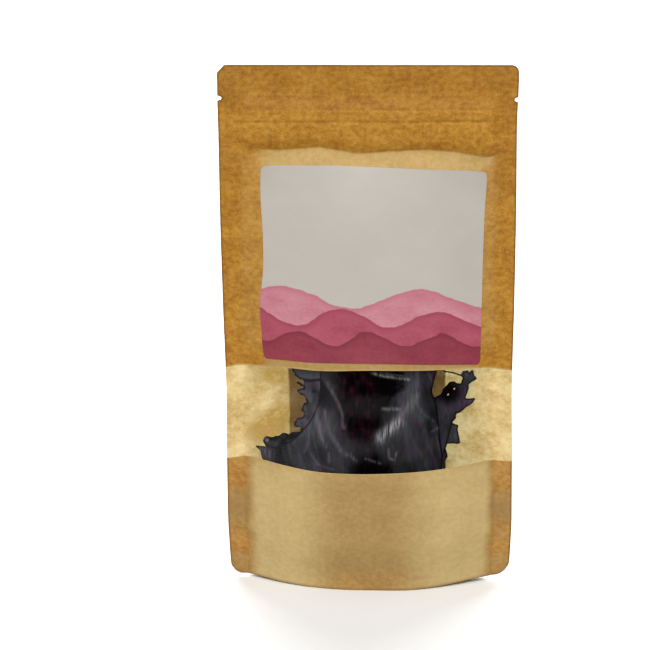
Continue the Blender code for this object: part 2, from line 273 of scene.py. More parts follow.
def pouch_point(across, up, depth):
    """A place of the tapered pouch, at a depth from its middle plane."""
    in_pocket = pocket_share(across) * (smooth_curve(HALF_WIDTHS, up) - SIDE_SEAL)
    x = np.sign(across) * (in_pocket + np.maximum(np.abs(across) - POCKET, 0))
    x = x + RIGHT_FLARE * ramp(0.205, 0.226, up) * ramp(0.030, 0.060, across)
    lift = np.where(across < 0, LEFT_CORNER_LIFT, RIGHT_CORNER_LIFT)
    z = up + lift * np.exp(-((up / CORNER_LIFT_REACH) ** 2)) * (1 - lens(across))
    return np.stack([x, depth + 0 * x, z], -1)


def moved_out(inner, across, up, side, out):
    """Places at the distance "out" outside an inner face."""
    step = 0.0004
    along = inner(across + step, up) - inner(across - step, up)
    rise = inner(across, up + step) - inner(across, np.maximum(up - step, 0))
    normal = np.cross(along, rise)
    normal /= np.linalg.norm(normal, axis=-1, keepdims=True)
    return inner(across, up) - side * normal * np.asarray(out)[..., None]


def front_place(across, up, out):
    relief = pocket_folds(across, up, 3) + zip_lines(across, up, 5) - seal_closing(across, up)
    return moved_out(front_inner, across, up, -1, pressed(across, up, out) + relief)


def back_place(across, up, out):
    relief = pocket_folds(across, up, 41) + zip_lines(across, up, 47) - seal_closing(across, up)
    full = np.minimum(lens(across) * 5, 1)
    dent = -0.0016 * hump(-0.044, 0.009, across) * hump(0.079, 0.013, up)
    crinkle = 0.00028 * waves(across / 0.0055, up / 0.0045, 53, 2) * ramp(0.12, 0.10, up)
    return moved_out(back_inner, across, up, 1, out + relief + full * (dent + crinkle))


def gusset_line(ends, across, power):
    """Height of a line on the gusset, from its middle to the side seals."""
    return ends[0] + (ends[1] - ends[0]) * pocket_share(across) ** power


def gusset_place(across, row):
    """A place on the gusset: rows 0 to 1 up the front leg, 1 to 2 over the floor, 2 to 3 down the back."""
    seal = gusset_line(GUSSET_SEAL, across, 3)
    fold = gusset_line(GUSSET_FOLD, across, 2.5)
    on_leg = (row < 1) | (row > 2)
    up = seal * np.where(on_leg, np.minimum(row, 3 - row), 1)
    front = front_place(across, up, -GUSSET_IN)
    back = back_place(across, up, pressed(across, up, -GUSSET_IN))
    turn = pi * (np.clip(row, 1, 2) - 1)
    power = 1 / (1 + 3 * pocket_share(across) ** 6)
    swing = np.abs(np.cos(turn)) ** power * np.where(np.cos(turn) > 0, 1, -1)
    rise = np.abs(np.sin(turn)) ** power
    ripple = 0.0004 * waves(across / 0.015, row * 4, 61, 2) * np.sin(turn) ** 2 * lens(across)
    floor = (front + back) / 2 + (front - back) / 2 * swing[..., None]
    floor[..., 2] += (fold - seal) * rise + ripple
    return np.where((row < 1)[..., None], front, np.where((row > 2)[..., None], back, floor))


# ---------------------------------------------------------------- outlines

def rounded_box(x, y, half_x, half_y, corner):
    """Distance inside a rectangle with round corners, negative outside."""
    over_x, over_y = np.abs(x) - half_x + corner, np.abs(y) - half_y + corner
    outside = np.hypot(np.maximum(over_x, 0), np.maximum(over_y, 0))
    return corner - outside - np.minimum(np.maximum(over_x, over_y), 0)


def pouch_outline(across, up):
    """Distance inside the flat pouch's outline, with its corners and tear notches."""
    left = across < 0
    foot_corner = np.where(left, LEFT_FOOT_CORNER, RIGHT_FOOT_CORNER)
    inside = rounded_box(across, up - HEIGHT / 2, HALF_WIDTH, HEIGHT / 2,
                         np.where(up > HEIGHT / 2, np.where(left, CUT_CORNER, TOP_CORNER), foot_corner))
    cut = np.where(left, (HALF_WIDTH + HEIGHT - TOP_CORNER + across - up) / 2**0.5, 1)
    notch_up = np.where(left, LEFT_NOTCH_UP, RIGHT_NOTCH_UP)
    notch_depth = np.where(left, LEFT_NOTCH_DEPTH, RIGHT_NOTCH_DEPTH)
    notch = np.hypot((HALF_WIDTH - np.abs(across)) / notch_depth, (up - notch_up) / NOTCH_HALF_HEIGHT) - 1
    return np.minimum(np.minimum(inside, cut), notch * NOTCH_HALF_HEIGHT)


def closed_curve(points, steps=6):
    """A smooth closed line through points, as an array."""
    p0 = np.array(points, float)
    p1, p2, p3 = np.roll(p0, -1, 0), np.roll(p0, -2, 0), np.roll(p0, -3, 0)
    line = [0.5 * (2 * p1 + (p2 - p0) * t + (2 * p0 - 5 * p1 + 4 * p2 - p3) * t**2
                   + (3 * p1 - p0 - 3 * p2 + p3) * t**3) for t in np.arange(steps) / steps]
    return np.stack(line, 1).reshape(-1, 2)


def segment_distance(x, y, start, end):
    """Distance from a straight piece of line."""
    (ax, ay), (ex, ey) = start, np.subtract(end, start)
    t = np.clip(((x - ax) * ex + (y - ay) * ey) / (ex * ex + ey * ey + TINY), 0, 1)
    return np.hypot(x - ax - t * ex, y - ay - t * ey)


def line_distance(x, y, points):
    """Distance from a line of straight pieces, given in millimetres."""
    points = np.array(points) / 1000
    return np.min([segment_distance(x, y, *ends) for ends in zip(points, points[1:])], 0)


def polygon_distance(x, y, corners):
    """Distance inside a closed polygon, negative outside."""
    nearest = np.inf
    odd = np.zeros(x.shape, bool)
    for start, end in zip(corners, np.roll(corners, -1, 0)):
        nearest = np.minimum(nearest, segment_distance(x, y, start, end))
        crosses = (start[1] > y) != (end[1] > y)
        slope = (end[0] - start[0]) / np.where(crosses, end[1] - start[1], 1)
        odd ^= crosses & (x < start[0] + (y - start[1]) * slope)
    return np.where(odd, 1, -1) * nearest


def cell_corners(grid):
    """A grid's values at the four corners of each cell, one row a cell."""
    return np.stack([grid[:-1, :-1], grid[:-1, 1:], grid[1:, 1:], grid[1:, :-1]], -1).reshape(-1, 4)


def trim(columns, rows, inside):
    """Fit a grid to an outline: its nearest points move onto it, and what is outside goes.

    inside holds each grid point's distance inside the outline. Gives the kept points'
    across and up, the faces, and which grid points were kept.
    """
    across, up = np.meshgrid(columns, rows)
    slope_up, slope_across = np.gradient(inside, rows, columns)
    cell_across = np.gradient(columns)[None, :] * np.ones_like(across)
    cell_up = np.gradient(rows)[:, None] * np.ones_like(across)
    steep = np.maximum(slope_up**2 + slope_across**2, LEAST_STEEPNESS)
    reach = 0.5 * (np.abs(slope_across) * cell_across + np.abs(slope_up) * cell_up)
    near = np.abs(inside) < reach
    shift = np.where(near, inside / steep, 0)
    across = across - np.clip(shift * slope_across, -cell_across, cell_across)
    up = up - np.clip(shift * slope_up, -cell_up, cell_up)
    kept = near | (inside > 0)
    corners = cell_corners(np.cumsum(kept).reshape(kept.shape) - 1)
    there = cell_corners(kept)
    quads = corners[there.all(1)].tolist()
    partly = there.sum(1) == 3
    triangles = corners[partly][there[partly]].reshape(-1, 3).tolist()
    return across[kept], up[kept], quads + triangles, kept


def grid_lines(cells, start, stop):
    """Places from start to stop whose spacing follows (place, size) points."""
    places, sizes = np.array(cells, float).T
    lines = [start]
    while lines[-1] < stop:
        lines.append(lines[-1] + np.interp(lines[-1], places, sizes))
    lines = np.array(lines)
    return start + (lines - start) * (stop - start) / (lines[-1] - start)


# ---------------------------------------------------------------- meshes

def add(name, data):
    """A new object in the scene."""
    obj = bpy.data.objects.new(name, data)
    bpy.context.scene.collection.objects.link(obj)
    return obj


def sheet(name, node, points, faces, uv, thickness, looks, marks=None):
    """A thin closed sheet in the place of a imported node, with a UV map and marks at its points."""
    mesh = bpy.data.meshes.new(name)
    mesh.from_pydata(points.tolist(), [], faces)
    corners = np.zeros(len(mesh.loops), int)
    mesh.loops.foreach_get("vertex_index", corners)
    layer = mesh.uv_layers.new(name="flat")
    layer.uv.foreach_set("vector", uv[corners].astype(np.float32).ravel())
    for key, values in (marks or {}).items():
        mark = mesh.attributes.new(key, "FLOAT", "POINT")
        mark.data.foreach_set("value", np.asarray(values, np.float32))
    mesh.shade_smooth()
    edges = np.zeros(len(mesh.loops), int)
    mesh.loops.foreach_get("edge_index", edges)
    sharp = mesh.attributes.new("sharp_edge", "BOOLEAN", "EDGE")
    sharp.data.foreach_set("value", np.bincount(edges, minlength=len(mesh.edges)) == 1)
    obj = add(name, mesh)
    for look in looks:
        mesh.materials.append(look)
    solid = obj.modifiers.new("Thickness", "SOLIDIFY")
    solid.thickness = thickness
    solid.offset = 0
    solid.material_offset = len(looks) - 1
    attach(obj, "root")
    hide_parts(node)


def flat_uv(across, up):
    return np.stack([across, up], -1) * UV_PER_METRE


def panel_columns():
    right = grid_lines(COLUMN_CELLS, 0, HALF_WIDTH)
    return np.concatenate([-right[:0:-1], right])


def panel(name, node, place, out, thickness, looks, low=0, high=HEIGHT, edge=None):
    """The front or back panel between two heights; edge is a curve that the low or high end follows."""
    rows = grid_lines(ROW_CELLS, low, high)
    end = high if low == 0 else low
    if edge:
        rows = np.union1d(rows, end + np.array(ROWS_BESIDE_EDGE))
        rows = rows[(rows >= low) & (rows <= high)]

    def up_at(across, row):
        if not edge:
            return row
        return row + (smooth_curve(edge, across) - end) * ramp(*EDGE_REACH, np.abs(row - end))

    columns = panel_columns()
    across, row = np.meshgrid(columns, rows)
    across, row, faces, _ = trim(columns, rows, pouch_outline(across, up_at(across, row)))
    up = up_at(across, row)
    sheet(name, node, place(across, up, out), faces, flat_uv(across, up), thickness, looks,
          kraft_marks(across, up))


def warm_mark(across, up, seam, sealed):
    """How warm the tone is: in blotches on the side seals and beside them, and at the foot."""
    blotchy = smooth_curve(SEAL_WARMTH, up) + 0.35 * waves(across / 0.010, up / 0.007, 71, 2)
    warm = np.maximum(sealed * np.clip(blotchy, 0, 1), 0.4 * ramp(0.014, 0.005, up))
    return np.maximum(warm, 0.3 * hump(0.0545, 0.0025, seam))


def painted_shade_mark(across, up, sealed, middle):
    """How much painted shade darkens a place: above the crease and along it, on the zip's line, above the
    zip's bulge, and on the seals under the crease and at the foot; the seals are also darker low down.
    """
    height = up - smooth_curve(CREASE, across)
    cloud = 0.75 + 0.5 * waves(across / 0.008, up / 0.006, 75, 2)
    above = np.where(height > 0, 0.22 * np.exp(-height / 0.0040) * cloud * middle, 0)
    line_end = np.where(across < 0, middle, ramp(0.0580, 0.0570, across))
    line = np.exp(-np.abs(height) / np.where(height > 0, 0.0006, 0.0004)) * line_end
    line = line * (0.4 + 0.5 * hump(0.0550, 0.0025, across))
    zip_groove_shade = hump(0.2053, 0.00045, zip_height(across, up)) * ramp(0.0590, 0.0575, np.abs(across))
    seals = band(0.165, 0.185, 0.190, 0.203, up) + ramp(0.010, 0.002, up) + hump(0.034, 0.010, up)
    # Painted shade over the paper above the zip's bulge, which evens out the light on its upper slope
    return (above + line + 0.30 * ramp(0.2103, 0.2112, up) + 0.25 * sealed * seals
            + 0.35 * zip_groove_shade * (0.6 + 0.4 * cloud))


def highlight_and_pale_mark(across, up, seam, middle, edges):
    """How pale a place is made: painted highlight on the ledge under the crease, on the lower paper's sides
    and below the zip's groove; paler by the label and on "edges".
    """
    # Painted highlight on the ledge under the crease, which faces up into the light
    below = smooth_curve(CREASE, across) - up
    ledge_end = np.where(across < 0, ramp(-0.0520, -0.0400, across), ramp(0.0572, 0.0520, across))
    reach = 1 - 0.65 * ramp(0.0460, 0.0515, across)
    ledge = band(0, 0.0008, 0.004 * reach, 0.020 * reach, below) * ledge_end
    # Painted light on the lower paper's sides, so that its middle stays darker
    lower = ramp(0.060, 0.050, up) * ramp(0.010, 0.036, np.abs(across)) * ramp(0.0565, 0.0515, seam)
    beside_label = band(0.100, 0.112, 0.185, 0.194, up) * ramp(0.0580, 0.0540, seam)
    beside_label = beside_label * np.where(across < 0, 0.22, 0.32)
    # Painted highlight in a thin line below the zip's groove
    zip_light = 0.16 * hump(0.2099, 0.0004, up) * middle
    return np.maximum(np.maximum(ledge, lower), edges) + zip_light + beside_label


def kraft_marks(across, up):
    """Marks at each point of a panel: how warm its tone is, how much painted highlight or pale edge it gets,
    and how much painted shade.
    """
    aside = np.abs(across)
    seam = aside + 0.0014 * waves(across / 0.01, up / 0.012, 73, 2)
    sealed = ramp(0.0525, 0.0575, seam)
    middle = ramp(0.0550, 0.0480, aside)
    # The strip under the label is paler, with painted shade where the dark dulse lies behind it
    strip = band(0.075, 0.080, 0.1000, 0.1020, up) * ramp(0.0500, 0.0440, aside)
    # The papers' cut edges at the window are paler, with a painted glint on them
    cut = np.minimum(*(np.abs(up - smooth_curve(edge, across)) for edge in (WINDOW_TOP, WINDOW_BOTTOM)))
    cut_edge = ramp(0.0006, 0.0003, cut)
    # A dark line along the outline
    rim = ramp(0.0009, 0.0004, pouch_outline(across, up))
    pale = highlight_and_pale_mark(across, up, seam, middle, np.maximum(strip, cut_edge))
    dark = np.maximum(painted_shade_mark(across, up, sealed, middle), rim) + 0.4 * strip * (1 - cut_edge)
    return {"warm": warm_mark(across, up, seam, sealed) * (1 - cut_edge), "pale": np.clip(pale, 0, 1),
            "dark": np.clip(dark, 0, 1)}


def label(name, node, size, place, out, looks, edges=None):
    """A label with round corners that follows a panel; edges may bend its four sides."""
    half_width, half_height = size["half_width"], size["half_height"]
    columns, rows = (grid_lines(LABEL_CELLS, -half - LABEL_MARGIN, half + LABEL_MARGIN)
                     for half in (half_width, half_height))
    right, high = np.meshgrid(columns, rows)
    inside = rounded_box(right, high, half_width, half_height, LABEL_CORNER)
    right, high, faces, _ = trim(columns, rows, inside)
    share_right, share_high = right / half_width / 2 + 0.5, high / half_height / 2 + 0.5
    if edges:
        left, far, foot, top = (smooth_curve(edges[side], along * 1000) / 1000 for side, along in (
            ("left", high), ("right", high), ("bottom", right), ("top", right)))
        right = right + left + (far - left) * share_right
        high = high + foot + (top - foot) * share_high
    turn = radians(size["tilt"])
    across = size["across"] + right * cos(turn) - high * sin(turn)
    up = size["up"] + right * sin(turn) + high * cos(turn)
    uv = np.stack([share_right, share_high], -1)
    sheet(name, node, place(across, up, out), faces, uv, STICKER, looks)


def gusset(look):
    """The folded bottom: its rows run up the front leg, over the floor and down the back leg."""
    columns = panel_columns()
    leg = np.linspace(0, 1, 20) ** 1.4
    rows = np.concatenate([leg[:-1], np.linspace(1, 2, 45), 3 - leg[-2::-1]])
    across, row = np.meshgrid(columns, rows)
    up = gusset_line(GUSSET_SEAL, across, 3) * np.clip(np.minimum(row, 3 - row), 0, 1)
    on_floor = (row > 1) & (row < 2)
    inside = np.where(on_floor, HALF_WIDTH - np.abs(across) + 1e-5, pouch_outline(across, up))
    across, row, faces, _ = trim(columns, rows * GUSSET_SEAL[1], inside)
    row = row / GUSSET_SEAL[1]
    sheet("gusset_kraft", "bottom_gusset", gusset_place(across, row), faces,
          flat_uv(across, GUSSET_UV_ROW * row), LAMINATE, [look],
          {"warm": 0.4 * (row < 1), "pale": 0.5 + 0 * row, "dark": 0 * row})


# ---------------------------------------------------------------- dulse

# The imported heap's own numbers
BLADES = 10
BLADE_CLEARANCE = 0.0012
BLADE_LEAST_GAP = 0.0008
BLADE_SPREAD = (0.006, 0.045)
BLADE_WAVE = 0.042
BLADE_FOLD = 0.3
FROND_SHEET = 0.00020
FROND_MARGIN = 0.003
LIFT_SHARE = 0.42  # share of the room beside a blade that its folds take up


def heap_depth(k, across, up):
    """Where blade k lies between the panels, negative towards the front, and the room beside it."""
    gaps = BLADES - 1
    room = 2 * (half_gap(across, up) - BLADE_CLEARANCE)
    least = np.minimum(BLADE_LEAST_GAP, 0.6 * room / gaps)
    shares = []
    for i in range(gaps):
        turn = 2.4 * i
        phase = 2 * pi * (across * cos(turn) + up * sin(turn)) / BLADE_WAVE + 1.7 * i
        shares.append(1 + 0.6 * np.sin(phase))
    free = (room - least * gaps) * ramp(*BLADE_SPREAD, up)
    stack = least * gaps + free
    depth = least * k + free * sum(shares[:k], 0 * across) / sum(shares)
    share = depth / stack
    fold = BLADE_FOLD * np.sin(2 * pi * across / BLADE_WAVE + np.sin(2 * pi * up / BLADE_WAVE))
    narrower = np.minimum(shares[max(k - 1, 0)], shares[min(k, gaps - 1)])
    return depth - stack / 2 + fold * stack * share * (1 - share), least + free * narrower / sum(shares)


# Cell sizes of the fronds in the window: fine where their edges show
FROND_COLUMN_CELLS = [(-0.053, 0.00045), (-0.024, 0.00045), (-0.018, 0.0008), (0.024, 0.0008),
                      (0.029, 0.00045)]
FROND_ROW_CELLS = [(0, 0.0013), (0.048, 0.0013), (0.053, 0.00045)]

# Outlines and marks of the blades in the window, in millimetres of (across, up)
FRONDS = [
    # broad blade pressed against the window
    dict(blade=0, smooth=True, ragged=0.03, points=[
        (2, 8), (-14, 18), (-30, 34), (-42, 46), (-48.1, 54.9), (-49.5, 58.6), (-51.8, 60.4), (-49, 61.0),
        (-46.5, 61.1), (-43.3, 61.4), (-40.6, 62.2), (-37.7, 63.4), (-34.5, 65.5), (-30.8, 68.8),
        (-28.6, 71.3), (-26.4, 73.8), (-23.3, 79.3), (-22, 83.5), (-21.2, 89.7), (-21.2, 96), (-20, 101),
        (0, 103), (20, 102), (31.5, 99), (31.1, 95.7), (30.4, 93.2), (29.6, 89.5), (29.6, 87), (31.4, 82),
        (33, 68), (34, 54), (28, 34), (14, 16)]),
    # ragged blade behind it on the left, with a curled lobe
    dict(blade=1, ragged=0.30, points=[
        (0, 10), (-12, 24), (-26, 42), (-38, 55), (-44.2, 60.9), (-46.4, 61.4), (-47.6, 61.9), (-48.3, 63.1),
        (-47.8, 64.6), (-46.1, 65.6), (-44.4, 65.2), (-43, 65.3), (-40.7, 66.8), (-37.6, 67.3),
        (-35.3, 68.1), (-32.7, 68.3), (-30, 69.8), (-33.1, 70.5), (-33.3, 72.7), (-32.7, 74.6), (-29.1, 75),
        (-29.3, 76.6), (-30.2, 78.2), (-29.5, 80.3), (-27.9, 81.9), (-28.7, 83.7), (-29.5, 84.8),
        (-30.8, 85.6), (-32, 86.9), (-30.5, 87.6), (-28.8, 88.4), (-30.3, 89), (-32.1, 90.4),
        (-32.4, 91.6), (-30.9, 90.8), (-29, 89.7), (-29, 91.5), (-30.7, 92.1), (-32.3, 93.3),
        (-33.7, 95.5), (-34.4, 97.7), (-34.5, 101), (-20, 103), (-4, 100), (8, 80), (12, 40)]),
    # dark torn blade at the right, with its spikes and two holes
    dict(blade=2, ragged=0.10, holes=[(39.2, 87.9, 0.45), (36.4, 85.6, 0.52)], points=[
        (6, 11), (10, 34), (16, 58), (22, 76), (28, 83), (33.2, 86.1), (34, 88.1), (35.3, 89.3), (37, 90.7),
        (39.2, 91), (40.4, 90.3), (42.2, 90.2), (42.8, 92.3), (42.1, 94.1), (42.8, 95.8), (45.2, 95.9),
        (45.9, 94.4), (46.5, 95.7), (47.6, 95.9), (48.2, 93.9), (49.3, 91.9), (47.4, 91), (45.6, 89.3),
        (45.9, 88), (45.2, 85.9), (44.3, 83.4), (48.7, 83.3), (47.8, 81.5), (44.8, 79.6), (41.8, 77.3),
        (40.1, 77), (40.1, 74.9), (38.4, 73.3), (36, 64), (30, 44), (18, 20)]),
    # grey lobe below it
    dict(blade=4, ragged=0.12, points=[
        (4, 12), (6, 40), (14, 64), (24, 76), (34, 76), (38.3, 72.7), (40.9, 71.2), (40.8, 67.2), (41.7, 63),
        (40.8, 62.4), (35.2, 62.8), (35.2, 60.5), (36.2, 56.6), (34.7, 55), (34.9, 50.5), (30, 34),
        (16, 16)]),
]
# The thin stalk of the torn blade, and where the second blade's edge shows through the first, as a painted
# shadow line
TWIG = [(33.5, 96.6), (34.8, 95.6), (38.3, 95.1), (40.4, 94.3), (42.8, 93.4)]
UNDERLAP = [(-34.6, 99), (-33.9, 95.7), (-32.6, 93.6), (-31.2, 92.4), (-29.5, 91.9), (-25.3, 91.8),
            (-20, 92.8)]
# Pale creases and scuffs of the front blade, with painted highlights on them: points, half width, strength
SCUFFS_AND_HIGHLIGHTS = [
    ([(6.5, 68.5), (10, 71.3), (14, 74.6)], 2.1, 0.8),
    ([(15.2, 76.6), (18.6, 80.9), (22, 86.4)], 2.2, 0.20),
    ([(7.6, 80.8), (14.6, 80.7)], 0.7, 0.35),
    ([(2.9, 96.1), (7, 95), (12.7, 94.2), (19.1, 93.3)], 0.5, 0.5),
    ([(10.1, 63.7), (10.7, 59.9), (12.5, 58.8), (13.9, 62.5)], 0.4, 0.28),
    ([(-0.2, 59.6), (6.7, 57.5)], 0.4, 0.2),
    ([(-22.1, 80.4), (-22.6, 76), (-20.2, 68.4), (-18.4, 64.2)], 0.9, 0.16),
    ([(-19.1, 79.4), (-16.7, 70.8), (-11.9, 63.4), (-9, 61.3)], 0.9, 0.16),
    ([(-18.1, 91.5), (-13.9, 85.1), (-10.9, 78.1), (-10.3, 72.7)], 0.7, 0.20),
    ([(-26.2, 72.4), (-26.1, 65.8), (-27.9, 61.3)], 0.6, 0.12),
    ([(-16.9, 61.5), (-16.5, 57.7)], 0.5, 0.2),
    ([(-24.9, 60.4), (-21.8, 56.3), (-14.7, 54.5)], 0.5, 0.12),
    ([(-7.8, 61.3), (-4.3, 58.7)], 0.7, 0.12),
    ([(22, 83.6), (25.5, 78.5), (30.1, 75)], 0.6, 0.10),
    ([(29.5, 70.6), (33, 72.4)], 0.6, 0.10),
    ([(-49.5, 59.4), (-46, 58)], 3.0, 0.20),
]
# The front blade's bare, dark middle, with neither dusting nor painted reflection
DARK_MIDDLE = [(-14, 99), (-13.9, 88.9), (-11.5, 79.7), (-6.7, 71.1), (1.4, 65.8), (4.8, 72.3), (6, 77.3),
               (8.8, 83.2), (16.2, 90.8), (18.5, 99)]


def frond_outline(blade, points, ragged, smooth, holes, across, up):
    """Distance inside a frond's torn outline."""
    corners = closed_curve(points) / 1000 if smooth else np.array(points) / 1000
    inside = polygon_distance(across, up, corners)
    inside = inside + ragged * 0.0016 * waves(across / 0.0024, up / 0.0024, 100 + 7 * blade, 2)
    for x, y, radius in holes:
        inside = np.minimum(inside, np.hypot(across - x / 1000, up - y / 1000) - radius / 1000)
    if blade == 2:
        inside = np.maximum(inside, 0.00030 - line_distance(across, up, TWIG))
    return inside


def frond(blade, points, looks, ragged, smooth=False, cell=None, holes=()):
    """One blade of dulse: a torn, crumpled sheet between the panels."""
    foot = np.array(points[0]) / 1000
    low, high = np.min(points, 0) / 1000 - FROND_MARGIN, np.max(points, 0) / 1000 + FROND_MARGIN
    columns = grid_lines([(0, cell)] if cell else FROND_COLUMN_CELLS, low[0], high[0])
    rows = grid_lines([(0, cell)] if cell else FROND_ROW_CELLS, low[1], high[1])
    inside = frond_outline(blade, points, ragged, smooth, holes, *np.meshgrid(columns, rows))
    across, up, faces, kept = trim(columns, rows, inside)
    edge = np.maximum(inside[kept], 0)
    depth, room = heap_depth(blade, across, up)
    angle = np.arctan2(across - foot[0], np.maximum(up - foot[1], 0.004))
    far = np.hypot(across - foot[0], up - foot[1])
    seed = 200 + 9 * blade
    folds = 0.6 * waves(angle * 7, far / 0.035, seed) + 0.5 * waves(angle * 16, far / 0.018, seed + 3)
    folds = folds + 0.35 * waves(across / 0.007, up / 0.008, seed + 4, 3)
    turned = 0.5 * np.exp(-edge / 0.0012) * waves(across / 0.012, up / 0.012, seed + 7)
    lift = np.clip(0.45 * folds * ramp(0.010, 0.030, up) + turned, -1, 1)
    if blade in (0, BLADES - 1):
        lift = np.abs(lift) * (1 if blade == 0 else -1)
    shown_edge = np.minimum(edge, line_distance(across, up, UNDERLAP)) if blade == 1 else edge
    ridges = 1 - np.minimum(np.abs(waves((across + 0.3 * up) / 0.0050, up / 0.028, seed + 8, 2)) * 2.2, 1)
    sheet(f"dulse_frond_{blade + 1:02d}", f"dulse_blade_{blade + 1:02d}",
          pouch_point(across, up, depth + LIFT_SHARE * room * lift), faces, flat_uv(across, up),
          FROND_SHEET, looks,
          {"edge": shown_edge * 1000, "dust": dust_and_reflection_on(blade, across, up, ridges),
           "pale": scuffs_and_highlights_on(blade, across, up), "crimson": crimson_on(blade, across, up),
           "violet": violet_on(blade, across, up)})


def dust_and_reflection_on(blade, across, up, ridges):
    """How dusty a place on a blade looks; on the front blade the grey is also painted reflection of the
    film's haze, lighter along its fold ridges.
    """
    cloud = 0.22 * waves(across / 0.010, up / 0.012, 400 + blade, 2)
    if blade == 0:
        bare = polygon_distance(across, up, np.array(DARK_MIDDLE) / 1000) + 0.0012 * waves(
            across / 0.004, up / 0.006, 411, 2)
        foot = ramp(0.0595, 0.0560, up) * band(-0.012, -0.002, 0.016, 0.026, across)
        share = 0.24 + 0.20 * ramp(-0.004, -0.020, across) + 0.13 * ramp(0.014, 0.022, across)
        share = share + 0.35 * ramp(0.086, 0.092, up) * ramp(0.010, 0.018, across)
        dust = share * (0.7 + 0.6 * ridges) + cloud
        return np.clip(ramp(0.0006, -0.0030, bare) * (1 - foot) * dust, 0, 1)
    if blade == 1:
        above = ramp(0.0918, 0.0930, up) * ramp(-0.035, -0.031, across)
        blotch = 0.35 * waves(across / 0.003, up / 0.003, 431, 2)
        return np.clip(0.75 + 0.4 * above - 0.58 * ramp(0.071, 0.068, up) + cloud + blotch, 0, 1)
    if blade == 2:
        bare = np.exp(-((np.hypot(across - 0.0364, (up - 0.0866) * 1.2) / 0.0070) ** 4))
        return np.clip((0.42 + 0.3 * ramp(0.091, 0.094, up) + 1.2 * cloud) * (1 - bare), 0, 1)
    return np.clip(0.95 + cloud, 0, 1)


def violet_on(blade, across, up):
    """How violet the dust of a place is."""
    if blade == 0:
        return 0.15 + 0.7 * ramp(-0.042, -0.047, across)
    if blade == 1:
        return 0.3 - 0.3 * ramp(0.0905, 0.0930, up)
    if blade == 2:
        return 0.2 + 0.8 * ramp(0.040, 0.044, across) * ramp(0.089, 0.087, up)
    return 0.1 + 0.7 * ramp(0.063, 0.059, up) + 0 * across


def scuffs_and_highlights_on(blade, across, up):
    """How pale the creases and scuffs make a place, with painted highlights on them and in the second
    blade's curl.
    """
    if blade == 1:
        return 0.9 * np.exp(-((np.hypot(across + 0.0463, up - 0.0638) / 0.0007) ** 2))
    if blade:
        return 0 * across
    return np.clip(sum(strength * np.exp(-((line_distance(across, up, points) * 1000 / half) ** 2))
                       for points, half, strength in SCUFFS_AND_HIGHLIGHTS), 0, 1)


def crimson_on(blade, across, up):
    """How much crimson shows in the dark of a blade."""
    if blade:
        return 0.35 + 0 * across
    return band(-0.020, -0.012, 0.001, 0.007, across) * ramp(0.060, 0.068, up)


def back_frond(blade):
    """Outline of a frond that is hidden in the heap: a fan with round lobes."""
    rng = np.random.default_rng(300 + blade)
    lean = [2, -8, 8, -5, 9, -6, 5, 7, -6, 2][blade]
    points = [(0, 8)]
    for step in range(17):
        angle = radians(lean + np.interp(step, [0, 16], [-62, 62]))
        reach = (88 - 26 * abs(step - 8) / 8) * (1 if step % 2 else 0.80) * rng.uniform(0.94, 1.04)
        points.append((np.clip(reach * sin(angle) * 0.62, -30, 33), 8 + reach * cos(angle * 0.75)))
    return dict(blade=blade, smooth=True, cell=0.0012, ragged=0.8, points=points)


def dulse():
    """The heap of dried blades, front to back."""
    plans = {plan["blade"]: plan for plan in FRONDS}
    looks = [dulse_look()]
    for blade in range(BLADES):
        frond(looks=looks, **(plans.get(blade) or back_frond(blade)))


# ---------------------------------------------------------------- materials

# Layered waves printed on the labels: level, height, waves across, phase, light tone, dark tone
PINK, CRIMSON, WINE = (((214, 150, 160), (186, 96, 112)), ((190, 92, 108), (150, 48, 72)),
                       ((166, 62, 78), (112, 28, 48)))
FRONT_WAVES = [(0.34, 0.050, 1.6, 0.6, *PINK), (0.24, 0.045, 2.3, 2.4, *CRIMSON),
               (0.13, 0.035, 3.1, 4.4, *WINE)]
BACK_WAVES = [(0.10, 0.018, 2.6, 1.0, *CRIMSON), (0.055, 0.014, 3.4, 3.0, *WINE)]

# Shaded hollows of the back panel's inner face: across and up in its UV map, turn, half sizes
HOLLOWS = [(-0.445, 0.696, 0.55, 0.150, 0.100), (-0.425, 0.913, -0.30, 0.090, 0.050)]


def scene_colour(shade):
    """Scene colour of an 8-bit screen colour (red, green, blue). Four numbers are one already."""
    if len(shade) == 4:
        return shade
    return (*((value / 255 + 0.055) ** 2.4 / 1.055**2.4 if value > 10 else value / 255 / 12.92
              for value in shade), 1)


